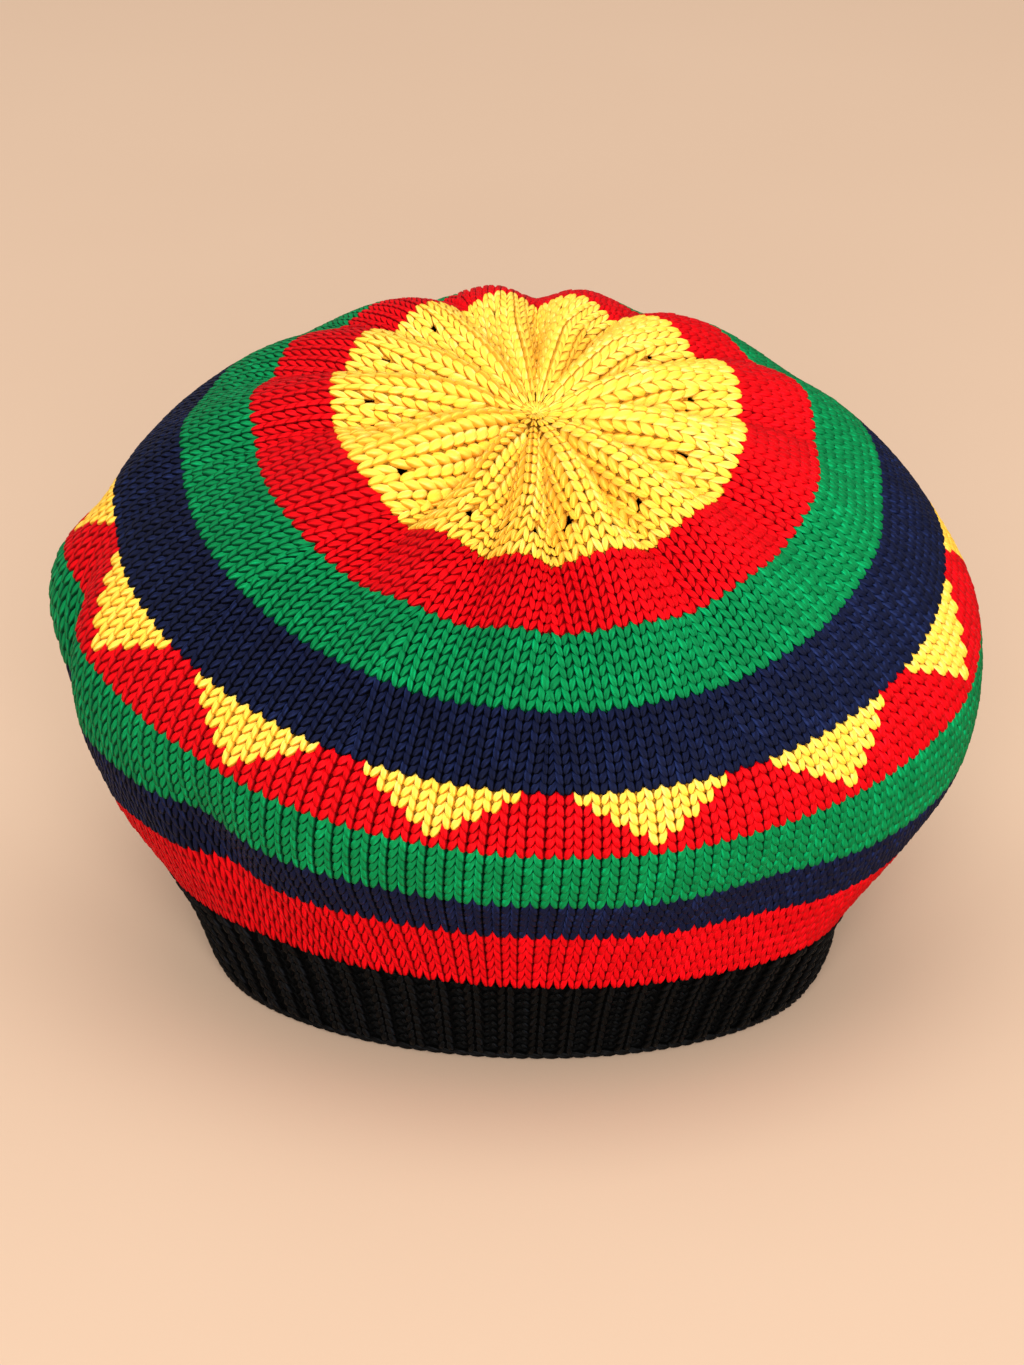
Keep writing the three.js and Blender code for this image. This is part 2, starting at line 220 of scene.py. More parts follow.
def gather_at(row, azimuth):
    """How far the pleats lift the surface: below zero at a fold, above it between two."""
    fold = [GATHERS[-1][0] - 360] + [g[0] for g in GATHERS] + [GATHERS[0][0] + 360]
    turn = np.interp(azimuth % 360, fold, range(-1, FOLDS + 1))
    whole = np.round(turn).astype(int)
    to_fold = np.abs(turn - whole) * 2
    depth = np.array([g[1] for g in GATHERS])[whole % FOLDS]
    strength = np.interp(row, *zip(*GATHER_STRENGTH))
    sharp, soft = (1 - to_fold) ** 2, (1 + np.cos(np.pi * to_fold)) / 2
    fold = mix(sharp, soft, smooth(row, SHARP_UNTIL_ROW, SOFT_FROM_ROW))
    deeper = 1 + PLEAT_SHARE * smooth(row, *PLEATS_GROW) * (1 - smooth(row, *PLEATS_FADE))
    return FOLD_DEPTH * depth * strength * (PUFF_SHARE - fold) * deeper


def dent_at(row, azimuth):
    """How far the dents press the surface in, as a sum of smooth hollows and bulges."""
    total = 0
    for middle, dent_row, across, along, depth in DENTS:
        turned = (azimuth - middle + 180) % 360 - 180
        total = total + DENT_DEPTH * depth * np.exp(
            -(turned / across) ** 2 - ((row - dent_row) / along) ** 2)
    return total


def knit_at(row, turn, lift=0.0):
    """A place on the hat in millimetres: lift is how far outside the outer face it lies."""
    row, turn = np.broadcast_arrays(np.asarray(row, float), np.asarray(turn, float))
    azimuth = azimuth_at(row, turn)
    normal = np.where((row <= 0)[..., None], POLE_NORMAL, normal_at(row, azimuth))
    faded = 1 - smooth(row, BAND_TOP_ROW, HEM_ROW)
    shape = gather_at(row, azimuth) - dent_at(row, azimuth) * faded + lift
    return form_at(row, azimuth) + normal * shape[..., None] + OFFSET


# %% [markdown]
# The CAD model was moved so that its origin lies under the middle of its outline. The same
# band, worked out here, shows how far, and the places then agree with the frame.

# %% Line up with the frame
OFFSET = np.zeros(3)
BAND_LINES, BELOW_BAND_TOP = 4, 0.05
band_steps = np.linspace(BAND_TOP_ROW + BELOW_BAND_TOP, HEM_ROW, BAND_LINES)
band_turns = np.arange(FOLDS * RIBS_PER_FOLD * 2) / (RIBS_PER_FOLD * 2)
rows_2d, turns_2d = np.meshgrid(band_steps, band_turns, indexing="ij")
crest = np.where(np.floor(turns_2d * RIBS_PER_FOLD * 2) % 2 == 0, 1, -1)
rib_lift = crest * RIB_RELIEF / 2 * smooth(rows_2d, BAND_TOP_ROW, BAND_TOP_ROW + 2)
band = knit_at(rows_2d, turns_2d, rib_lift).reshape(-1, 3)
low, high = (np.array(corner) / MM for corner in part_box("ribbed_headband"))
OFFSET = ((low + high) - (band.min(0) + band.max(0))) / 2 * np.array([1, 1, 0])
print("offset to the frame, mm:", OFFSET.round(3), "band height agrees to",
      round(float(high[2] - band[:, 2].max()), 3), "mm")

# %% [markdown]
# Stitches are counted from the middle of each of the thirteen gathered sections. Few start in
# the middle of the crown, and more join beside the folds as the circle widens. A fold holds
# more cloth than it shows, so the stitches are spaced along the real length of the surface.

# %% Where each stitch sits
STITCH_COUNTS = [(0, 1), (2.7, 1.1), (5, 2.6), (9, 4.4), (14, 6), (20, 7.4), (27, 9.2), (34, 10.9),
                 (42, 12)]
GRID_STEP, FIRST_GRID_ROW = 0.25, 0.3
GRID_ROWS = np.arange(0, HEM_ROW + 0.01, GRID_STEP)
GRID_SHARES, FINE_SHARES = np.linspace(0, 1, 33), np.linspace(0, 1, 65)


def stitches_at(row):
    """How many stitches lie between two folds at a row."""
    return np.interp(row, *zip(*STITCH_COUNTS))


def even_spacing():
    """For each row and section, the turn at even steps along the surface."""
    rows = GRID_ROWS[:, None, None]
    turns = np.arange(FOLDS)[None, :, None] + FINE_SHARES[None, None, :]
    places = knit_at(np.maximum(rows, FIRST_GRID_ROW), turns)
    steps = np.linalg.norm(np.diff(places, axis=2), axis=-1)
    run = np.concatenate([np.zeros(steps.shape[:2] + (1,)), np.cumsum(steps, axis=2)], axis=2)
    length = run[..., -1]
    table = np.empty(steps.shape[:2] + (len(GRID_SHARES),))
    for i in range(table.shape[0]):
        for k in range(FOLDS):
            table[i, k] = np.interp(GRID_SHARES * length[i, k], run[i, k], FINE_SHARES)
    return table


EVEN_TURNS = even_spacing()


def turn_of(row, section, offset):
    """The turn of a place that is `offset` stitches from the middle of a section."""
    share = 0.5 + offset / stitches_at(row)
    section = section + np.floor(share).astype(int)
    share = share - np.floor(share)
    r = np.clip(row / GRID_STEP, 0, len(GRID_ROWS) - 1.001)
    c = np.clip(share * (len(GRID_SHARES) - 1), 0, len(GRID_SHARES) - 1.001)
    i, j = r.astype(int), c.astype(int)
    fr, fc = r - i, c - j
    k = section % FOLDS
    low_row = EVEN_TURNS[i, k, j] * (1 - fc) + EVEN_TURNS[i, k, j + 1] * fc
    high_row = EVEN_TURNS[i + 1, k, j] * (1 - fc) + EVEN_TURNS[i + 1, k, j + 1] * fc
    return section + low_row * (1 - fr) + high_row * fr


FIRST_STITCHED_ROW = 0.05


def stitch_at(row, section, offset, lift=0.0):
    """A place on the hat, counted in stitches from the middle of a section."""
    row = np.clip(row, FIRST_STITCHED_ROW, HEM_ROW)
    return knit_at(row, turn_of(row, section, offset), lift)


print("stitches in the round, rows 5, 20 and 42:",
      [round(float(stitches_at(r)) * FOLDS) for r in (5, 20, 42)])

# %% [markdown]
# One leg of a stitch is a short plump strand. Two of them make the V of a knit stitch: their
# tops lie apart and tuck under the row above, and their rounded lower ends meet and rest on
# the row below. The shares below say where the ends lie, in rows and in stitch widths.

# %% Legs of the stitches
# Each style: rows and widths from the stitch's middle to the leg's tucked and rounded ends,
# their lifts in millimetres, half width and half thickness as shares of the stitch width, and
# how much longer the leg is than the way between its ends.
PLAIN = {"tucked": (-0.92, 0.40), "round": (0.60, 0.12), "lifts": (-1.4, 0.45),
         "half_width": 0.265, "half_thick": 0.22, "longer": 1.06}
GATHERED = {"tucked": (-0.84, 0.42), "round": (0.56, 0.105), "lifts": (-1.4, 0.45),
            "half_width": 0.27, "half_thick": 0.22, "longer": 1.07}
SHORT = {"tucked": (-0.72, 0.41), "round": (0.52, 0.125), "lifts": (-1.5, 0.5),
         "half_width": 0.26, "half_thick": 0.21, "longer": 1.1}
# No leg is thinner than this in millimetres, not even in the middle of the crown.
LEAST_HALF_WIDTH, LEAST_HALF_THICK = 0.62, 0.6
ACROSS_STEP, ALONG_STEP = 0.25, 0.3


def legs_of(stitches, style):
    """Middle, direction, outward side and half sizes of both legs of each stitch."""
    rows, sections, offsets, tall, wide = np.array(stitches, float).T
    sections = sections.astype(int)
    found = []
    for side in (-1, 1):
        row_a, width_a = style["tucked"]
        row_b, width_b = style["round"]
        a = stitch_at(rows + row_a * tall, sections, offsets + side * width_a * wide)
        b = stitch_at(rows + row_b * tall, sections, offsets + side * width_b * wide)
        where = offsets + side * (width_a + width_b) / 2 * wide
        across = (stitch_at(rows, sections, where + ACROSS_STEP)
                  - stitch_at(rows, sections, where - ACROSS_STEP)) / (2 * ACROSS_STEP)
        along = (stitch_at(rows + ALONG_STEP, sections, where)
                 - stitch_at(rows - ALONG_STEP, sections, where))
        outward = unit(np.cross(along, across))
        a = a + outward * style["lifts"][0]
        b = b + outward * style["lifts"][1]
        width = np.linalg.norm(across, axis=-1) * wide
        length = np.linalg.norm(b - a, axis=-1)
        size = np.stack([np.maximum(width * style["half_width"], LEAST_HALF_WIDTH),
                         np.maximum(width * style["half_thick"], LEAST_HALF_THICK),
                         length / 2 * style["longer"]], axis=-1)
        found.append(np.concatenate([(a + b) / 2, unit(b - a), outward, size], axis=-1))
    return np.concatenate(found)


# A stitch that would come this near a fold is left out. One wider or narrower stitch lies on
# the fold instead, where enough of the row is bare: least bare width, overlap and widths.
ROOM_BY_FOLD, LEAST_BARE, FOLD_OVERLAP, FOLD_NARROWEST, FOLD_WIDEST = 0.25, 0.15, 0.1, 0.6, 1.25


def stitches_between(first, last, knitted_rows):
    """Every stitch from one row to another: row, section, offset, height and width."""
    listed = []
    tall = (last - first) / knitted_rows
    for number in range(knitted_rows):
        row = first + (number + 0.5) * tall
        count = float(stitches_at(row))
        furthest = math.floor(count / 2 - ROOM_BY_FOLD)
        for section in range(FOLDS):
            listed += [(row, section, offset, tall, 1.0)
                       for offset in range(-furthest, furthest + 1)]
            bare = count - (2 * furthest + 1)
            if bare >= LEAST_BARE:
                wide = min(max(bare + FOLD_OVERLAP, FOLD_NARROWEST), FOLD_WIDEST)
                listed.append((row, section, count / 2, tall, wide))
    return listed


def in_triangle(row, offset):
    """True for the yellow stitches: nine in the top row, and two fewer in each row below."""
    return abs(offset) <= TRIANGLE_HALF - (row - 0.5 - TRIANGLE_TOP_ROW)


print("stitches from the triangles to the band:",
      len(stitches_between(TRIANGLE_TOP_ROW, BAND_TOP_ROW, BAND_TOP_ROW - TRIANGLE_TOP_ROW)))

# %% [markdown]
# Behind the stitches lies a thin closed wall. It stops light at the small gaps, and its outer side
# is coloured dark there as painted shade between the loops; its inner side is the inside of the
# hat.

# %% Walls behind the stitches
WALL_OUTSIDE, WALL_INSIDE = -1.7, -KNIT_THICKNESS


def wall_net(lines, turn_lines, keep, lifts=(WALL_OUTSIDE, WALL_INSIDE)):
    """Vertices, faces, face-corner UVs and an inside mark for a closed wall of chosen cells."""
    count = len(turn_lines)
    index, places = {}, []

    def at(i, j):
        key = (i, j % count) if lines[i] > 0 else (i, 0)
        if key not in index:
            index[key] = len(places)
            places.append((lines[i], turn_lines[key[1]]))
        return index[key]

    quads, uvs = [], []
    for i in range(len(lines) - 1):
        for j in range(count):
            if not keep(i, j):
                continue
            corners = [(i, j), (i + 1, j), (i + 1, j + 1), (i, j + 1)]
            quads.append([at(*c) for c in corners])
            uvs.append([((turn_lines[0] + c[1] * FOLDS / count) * STITCHES_PER_FOLD, lines[c[0]])
                        for c in corners])
    spots = np.array(places)
    outer = knit_at(spots[:, 0], spots[:, 1], lifts[0])
    inner = knit_at(spots[:, 0], spots[:, 1], lifts[1])
    size = len(places)
    faces, corner_uvs, inside, rim = [], [], [], {}
    for quad, uv in zip(quads, uvs):
        for a, b, c in zip(quad, quad[1:] + quad[:1], uv):
            if a == b:
                continue
            if not rim.pop((b, a), None):
                rim[(a, b)] = c
        ring = [k for k in range(4) if quad[k] != quad[k - 1]]
        faces.append([quad[k] for k in ring])
        corner_uvs.append([uv[k] for k in ring])
        inside.append(0.0)
        faces.append([quad[k] + size for k in reversed(ring)])
        corner_uvs.append([uv[k] for k in reversed(ring)])
        inside.append(1.0)
    for (a, b), uv in rim.items():
        faces.append([b, a, a + size, b + size])
        corner_uvs.append([uv] * 4)
        inside.append(0.0)
    return np.concatenate([outer, inner]), faces, corner_uvs, inside


STITCH_LINES = (np.arange(FOLDS * STITCHES_PER_FOLD) + 0.5) / STITCHES_PER_FOLD
HALF_FOLD = STITCHES_PER_FOLD // 2


def cell_offset(j):
    """Section and offset of the stitch behind wall cell j."""
    section, place = divmod(j + 1, STITCHES_PER_FOLD)
    if place == 0:
        return (section - 1) % FOLDS, HALF_FOLD
    return section, place - HALF_FOLD


print("wall columns:", len(STITCH_LINES))

# %% [markdown]
# Yarn has a soft body, a fine twist and dull highlights. The material draws the twist and the
# fibres along each leg with the leg's own UV map, and varies the dye a little from leg to leg
# and over the hat. It also paints shade at the tucked ends, along the sides and in the grooves
# of the twist, and paints highlights on the palest parts of each leg.

# %% Yarn materials
ONE_WAVE = 6.2832
# Waves of the plies round a leg and along it, their share of the tone, which paints shade into
# the grooves of the twist and highlight on its crests, and their share of the bump.
PLIES_ROUND, PLIES_ALONG, PLY_TONE, PLY_HEIGHT = 18.85, 6.0, 0.15, 0.5
# How the fibre noise is stretched along a leg, moved from leg to leg, and its part in the bump.
FIBRES_ROUND, FIBRES_ALONG, FIBRE_SHIFT, FIBRE_HEIGHT = 9.0, 2.2, 40.0, 1.1
MIDDLE_TONE, FIBRE_TONE, PATCH_TONE, LEG_TONE = 0.52, 0.55, 0.35, 0.28
YARN_BUMP, YARN_BUMP_DEPTH, YARN_ROUGHNESS = 0.75, 0.0004, 0.6


def linear(red, green, blue):
    """A colour as seen on screen, 0 to 255, as the linear values that shaders use."""
    values = []
    for value in (red, green, blue):
        value = value / 255
        values.append(value / 12.92 if value <= 0.04045 else ((value + 0.055) / 1.055) ** 2.4)
    return (*values, 1)


class Nodes:
    """Adds nodes to a tree in one line each: settings by keyword, links by socket name."""

    def __init__(self, tree):
        self.tree = tree

    def add(self, kind, inputs=None, **settings):
        node = self.tree.nodes.new(kind)
        for name, value in settings.items():
            setattr(node, name, value)
        for name, value in (inputs or {}).items():
            socket = node.inputs[name]
            if isinstance(value, bpy.types.NodeSocket):
                self.tree.links.new(value, socket)
            else:
                socket.default_value = value
        return node

    def math(self, operation, a, b=0.0):
        """The output of a maths node."""
        return self.add("ShaderNodeMath", {0: a, 1: b}, operation=operation).outputs[0]

    def blend(self, share, a, b):
        """The output of a colour mix, where either colour may be a socket."""
        node = self.add("ShaderNodeMix", {0: share}, data_type="RGBA")
        for socket, value in ((node.inputs[6], a), (node.inputs[7], b)):
            if isinstance(value, bpy.types.NodeSocket):
                self.tree.links.new(value, socket)
            else:
                socket.default_value = value
        return node.outputs[2]


def new_material(name):
    """An empty node material and the means to add nodes to it."""
    material = bpy.data.materials.new(name)
    material.use_nodes = True
    material.node_tree.nodes.clear()
    return material, Nodes(material.node_tree)


def finish_material(nodes, colour, normal, roughness, gloss):
    """Adds the shader, with constants on its own sockets, and the output."""
    shader = nodes.add("ShaderNodeBsdfPrincipled", {
        "Base Color": colour, "Normal": normal, "Roughness": roughness,
        "Specular IOR Level": gloss})
    output = nodes.add("ShaderNodeOutputMaterial")
    nodes.tree.links.new(shader.outputs[0], output.inputs[0])


def yarn_material(name, dark_tone_and_painted_shade, light, pale_tone_and_painted_highlight, painted_shade, gloss):
    """Yarn with painted highlights on its palest parts and painted shade at its tucked ends and
    sides.
    """
    material, nodes = new_material(name)
    spot = nodes.add("ShaderNodeTexCoord").outputs["Object"]
    uv = nodes.add("ShaderNodeUVMap", uv_map="UVMap").outputs["UV"]
    shade = nodes.add("ShaderNodeAttribute", attribute_name="shade").outputs["Fac"]
    apart = nodes.add("ShaderNodeSeparateXYZ", {0: uv})
    u, v = apart.outputs["X"], apart.outputs["Y"]
    twist = nodes.math("ADD", nodes.math("MULTIPLY", u, PLIES_ROUND),
                       nodes.math("MULTIPLY", v, PLIES_ALONG))
    ply = nodes.math("SINE", twist)
    stretched = nodes.add("ShaderNodeCombineXYZ", {
        "X": nodes.math("MULTIPLY", u, FIBRES_ROUND),
        "Y": nodes.math("MULTIPLY", v, FIBRES_ALONG),
        "Z": nodes.math("MULTIPLY", shade, FIBRE_SHIFT)}).outputs[0]
    fibre = nodes.add("ShaderNodeTexNoise", {
        "Vector": stretched, "Scale": 2.0, "Detail": 3.0, "Roughness": 0.6}).outputs["Fac"]
    patch = nodes.add("ShaderNodeTexNoise", {
        "Vector": spot, "Scale": 55.0, "Detail": 2.0}).outputs["Fac"]
    # The ply waves paint shade into the grooves of the twist and lighten its crests.
    tone = nodes.math("MULTIPLY_ADD", ply, PLY_TONE)
    tone.node.inputs[2].default_value = MIDDLE_TONE
    for source, strength in ((fibre, FIBRE_TONE), (patch, PATCH_TONE), (shade, LEG_TONE)):
        centred = nodes.math("SUBTRACT", source, 0.5)
        tone = nodes.math("ADD", tone, nodes.math("MULTIPLY", centred, strength))
    # Painted shade: the tone falls towards the tucked end of each leg, which lies under the row
    # above.
    tucked = nodes.add("ShaderNodeMapRange", {
        "Value": v, "From Min": 0.0, "From Max": 0.42, "To Min": -0.55, "To Max": 0.0}).outputs[0]
    tone = nodes.add("ShaderNodeMath", {0: tone, 1: tucked}, operation="ADD", use_clamp=True)
    lower = nodes.blend(tone.outputs[0], dark_tone_and_painted_shade, light)
    # Painted highlight: the palest tones, the ply crests among them, turn to the highlight colour.
    crest = nodes.add("ShaderNodeMapRange", {
        "Value": tone.outputs[0], "From Min": 0.55, "From Max": 1.0}).outputs[0]
    body = nodes.blend(crest, lower, pale_tone_and_painted_highlight)
    # Painted shade along both sides of each leg, where it meets its neighbours.
    side = nodes.math("SINE", nodes.math("MULTIPLY", u, ONE_WAVE))
    clear_of_painted_shade = nodes.add("ShaderNodeMapRange", {
        "Value": side, "From Min": -0.6, "From Max": 0.25}, interpolation_type="SMOOTHSTEP")
    colour = nodes.blend(clear_of_painted_shade.outputs[0], painted_shade, body)
    height = nodes.math("ADD", nodes.math("MULTIPLY", ply, PLY_HEIGHT),
                        nodes.math("MULTIPLY", fibre, FIBRE_HEIGHT))
    bump = nodes.add("ShaderNodeBump", {
        "Height": height, "Strength": YARN_BUMP, "Distance": YARN_BUMP_DEPTH}).outputs[0]
    finish_material(nodes, colour, bump, YARN_ROUGHNESS, gloss)
    return material


LOOP_BOW, LOOP_HEIGHT, WALL_FIBRE_HEIGHT = 0.22, 0.7, 0.5
WALL_BUMP, WALL_BUMP_DEPTH, WALL_ROUGHNESS = 0.7, 0.0012, 0.8


def wall_material(name, painted_shade, inside, gloss):
    """The wall behind the stitches: painted shade outside, and purl bumps in yarn colour inside,
    with painted shade between them.
    """
    material, nodes = new_material(name)
    spot = nodes.add("ShaderNodeTexCoord").outputs["Object"]
    uv = nodes.add("ShaderNodeUVMap", uv_map="UVMap").outputs["UV"]
    inner = nodes.add("ShaderNodeAttribute", attribute_name="inside").outputs["Fac"]
    apart = nodes.add("ShaderNodeSeparateXYZ", {0: uv})
    column = nodes.math("SINE", nodes.math("MULTIPLY", apart.outputs["X"], ONE_WAVE))
    bow = nodes.math("MULTIPLY", column, LOOP_BOW)
    row = nodes.math("ADD", apart.outputs["Y"], bow)
    purl = nodes.math("SINE", nodes.math("MULTIPLY", row, ONE_WAVE))
    fibre = nodes.add("ShaderNodeTexNoise", {
        "Vector": spot, "Scale": 900.0, "Detail": 3.0}).outputs["Fac"]
    height = nodes.math("ADD", nodes.math("MULTIPLY", purl, LOOP_HEIGHT),
                        nodes.math("MULTIPLY", fibre, WALL_FIBRE_HEIGHT))
    # Painted shade: the wall's inside is darker between the purl bumps.
    tone = nodes.add("ShaderNodeMapRange", {
        "Value": height, "From Min": -0.6, "From Max": 0.9}).outputs[0]
    loops = nodes.blend(tone, painted_shade, inside)
    # The outer face of the wall is all painted shade, seen through the gaps between the stitches.
    colour = nodes.blend(inner, painted_shade, loops)
    bump = nodes.add("ShaderNodeBump", {
        "Height": height, "Strength": WALL_BUMP, "Distance": WALL_BUMP_DEPTH}).outputs[0]
    finish_material(nodes, colour, bump, WALL_ROUGHNESS, gloss)
    return material


# Columns: dark tone, also painted shade at the tucked ends and in the twist; body; pale tone,
# also painted highlight; painted shade at the gaps between the stitches and along the sides;
# gloss.
YARNS = {
    "yellow_knit": ((246, 188, 48), (255, 219, 94), (255, 236, 140), (212, 148, 36), 0.1),
    "red_knit": ((172, 0, 6), (232, 0, 12), (254, 14, 32), (128, 0, 5), 0.07),
    "green_knit": ((0, 92, 48), (0, 144, 76), (0, 178, 108), (0, 60, 33), 0.07),
    "navy_knit": ((7, 10, 28), (15, 23, 58), (34, 48, 96), (2, 3, 11), 0.07),
    "black_rib": ((0, 0, 0), (3, 3, 4), (24, 27, 32), (0, 0, 0), 0.09),
}
yarns, walls = {}, {}
for slot_name, (dark_tone_and_painted_shade, light, pale_tone_and_painted_highlight, painted_shade, gloss) in YARNS.items():
    dark_tone_and_painted_shade, light, pale_tone_and_painted_highlight, painted_shade = (linear(*c) for c in (dark_tone_and_painted_shade, light, pale_tone_and_painted_highlight, painted_shade))
    yarns[slot_name] = yarn_material(slot_name + "_yarn", dark_tone_and_painted_shade, light, pale_tone_and_painted_highlight, painted_shade, gloss)
    walls[slot_name] = wall_material(slot_name + "_wall", painted_shade, light, gloss)
print("yarns:", len(yarns))

# %% [markdown]
# Geometry Nodes put a leg on every point that is marked as one. The leg is a small sphere that
# the tree stretches, tapers and arches, and each point brings its direction and size. Every
# leg then gets a shade of its own, and the whole is turned into a plain mesh.

# %% The tree that knits
BALL_SEGMENTS, BALL_RINGS, FIRST_SEED = 6, 5, 3
# The tree's named inputs: girth at the tucked and the round end as shares, how far a leg arches
# and how blunt its ends are, and how much the sizes of the legs differ.
TREE_INPUTS = (("Tucked End", 1.0), ("Round End", 0.94), ("Arch", 0.30), ("Blunt Ends", 0.25),
               ("Unevenness", 0.06))


def knitting_tree():
    """Geometry Nodes that turn each marked point into a leg of yarn."""
    tree = bpy.data.node_groups.new("knit_legs", "GeometryNodeTree")
    face = tree.interface
    face.new_socket("Knitting", in_out="INPUT", socket_type="NodeSocketGeometry")
    for name, value in TREE_INPUTS:
        socket = face.new_socket(name, in_out="INPUT", socket_type="NodeSocketFloat")
        socket.default_value = value
    seed = face.new_socket("Seed", in_out="INPUT", socket_type="NodeSocketInt")
    seed.default_value = FIRST_SEED
    face.new_socket("Yarn", in_out="INPUT", socket_type="NodeSocketMaterial")
    face.new_socket("Wall", in_out="INPUT", socket_type="NodeSocketMaterial")
    face.new_socket("Knitting", in_out="OUTPUT", socket_type="NodeSocketGeometry")
    nodes = Nodes(tree)
    given = nodes.add("NodeGroupInput").outputs
    ball = nodes.add("GeometryNodeMeshUVSphere", {
        "Segments": BALL_SEGMENTS, "Rings": BALL_RINGS, "Radius": 1.0})
    mapped = nodes.add("GeometryNodeStoreNamedAttribute", {
        "Geometry": ball.outputs["Mesh"], "Name": "UVMap"}, data_type="FLOAT2", domain="CORNER")
    tree.links.new(ball.outputs["UV Map"], mapped.inputs["Value"])
    marked = nodes.add("GeometryNodeStoreNamedAttribute", {
        "Geometry": mapped.outputs[0], "Name": "yarn", "Value": 1.0},
        data_type="FLOAT", domain="POINT")
    place = nodes.add("GeometryNodeInputPosition").outputs[0]
    xyz = nodes.add("ShaderNodeSeparateXYZ", {0: place}).outputs
    taper = nodes.add("ShaderNodeMapRange", {
        "Value": xyz["Z"], "From Min": -1.0, "From Max": 1.0,
        "To Min": given["Tucked End"], "To Max": given["Round End"]}).outputs[0]
    squared = nodes.math("MULTIPLY", xyz["Z"], xyz["Z"])
    bow = nodes.math("MULTIPLY", given["Arch"], nodes.math("SUBTRACT", 1.0, squared))
    blunt = nodes.math("MULTIPLY", nodes.math("MULTIPLY", squared, squared), given["Blunt Ends"])
    girth = nodes.math("MULTIPLY", taper, nodes.math("ADD", 1.0, blunt))
    shaped = nodes.add("ShaderNodeCombineXYZ", {
        "X": nodes.math("MULTIPLY", xyz["X"], girth),
        "Y": nodes.math("ADD", nodes.math("MULTIPLY", xyz["Y"], girth), bow),
        "Z": xyz["Z"]}).outputs[0]
    leg = nodes.add("GeometryNodeSetPosition", {
        "Geometry": marked.outputs[0], "Position": shaped}).outputs[0]
    is_leg = nodes.add("GeometryNodeInputNamedAttribute", {"Name": "is_leg"},
                       data_type="BOOLEAN").outputs[0]
    points = nodes.add("GeometryNodeMeshToPoints", {
        "Mesh": given["Knitting"], "Selection": is_leg}).outputs[0]
    fields = {name: nodes.add("GeometryNodeInputNamedAttribute", {"Name": name},
                              data_type="FLOAT_VECTOR").outputs[0]
              for name in ("along", "outward", "size")}
    turned = nodes.add("FunctionNodeAxesToRotation", {
        "Primary Axis": fields["along"], "Secondary Axis": fields["outward"]},
        primary_axis="Z", secondary_axis="Y").outputs[0]
    vary = nodes.add("FunctionNodeRandomValue", data_type="FLOAT_VECTOR")
    least = nodes.add("ShaderNodeCombineXYZ", {
        name: nodes.math("SUBTRACT", 1.0, given["Unevenness"]) for name in "XYZ"}).outputs[0]
    most = nodes.add("ShaderNodeCombineXYZ", {
        name: nodes.math("ADD", 1.0, given["Unevenness"]) for name in "XYZ"}).outputs[0]
    tree.links.new(least, vary.inputs["Min"])
    tree.links.new(most, vary.inputs["Max"])
    tree.links.new(given["Seed"], vary.inputs["Seed"])
    sized = nodes.add("ShaderNodeVectorMath", {
        0: fields["size"], 1: vary.outputs[0]}, operation="MULTIPLY").outputs[0]
    placed = nodes.add("GeometryNodeInstanceOnPoints", {
        "Points": points, "Instance": leg, "Rotation": turned, "Scale": sized}).outputs[0]
    shade = nodes.add("FunctionNodeRandomValue", data_type="FLOAT")
    tree.links.new(given["Seed"], shade.inputs["Seed"])
    shaded = nodes.add("GeometryNodeStoreNamedAttribute", {
        "Geometry": placed, "Name": "shade"}, data_type="FLOAT", domain="INSTANCE")
    tree.links.new(shade.outputs[1], shaded.inputs["Value"])
    wall = nodes.add("GeometryNodeDeleteGeometry", {
        "Geometry": given["Knitting"], "Selection": is_leg}, domain="POINT").outputs[0]
    joined = nodes.add("GeometryNodeJoinGeometry")
    tree.links.new(shaded.outputs[0], joined.inputs[0])
    tree.links.new(wall, joined.inputs[0])
    whole = nodes.add("GeometryNodeRealizeInstances", {"Geometry": joined.outputs[0]}).outputs[0]
    soft = nodes.add("GeometryNodeSetShadeSmooth", {"Geometry": whole}).outputs[0]
    base = nodes.add("GeometryNodeSetMaterial", {
        "Geometry": soft, "Material": given["Wall"]}).outputs[0]
    yarn = nodes.add("GeometryNodeInputNamedAttribute", {"Name": "yarn"},
                     data_type="FLOAT").outputs[0]
    dressed = nodes.add("GeometryNodeSetMaterial", {
        "Geometry": base, "Material": given["Yarn"],
        "Selection": nodes.math("GREATER_THAN", yarn, 0.5)}).outputs[0]
    nodes.add("NodeGroupOutput", {"Knitting": dressed})
    return tree


knit_legs = knitting_tree()
print("nodes in the knitting tree:", len(knit_legs.nodes))

# %% [markdown]
# A piece starts as its wall and one loose point for every leg. The tree is added as a modifier,
# its inputs are set by their identifiers, and the evaluated result becomes a plain mesh.

# %% From points to a knitted piece
LEG_FIELDS = (("along", 3), ("outward", 6), ("size", 9))


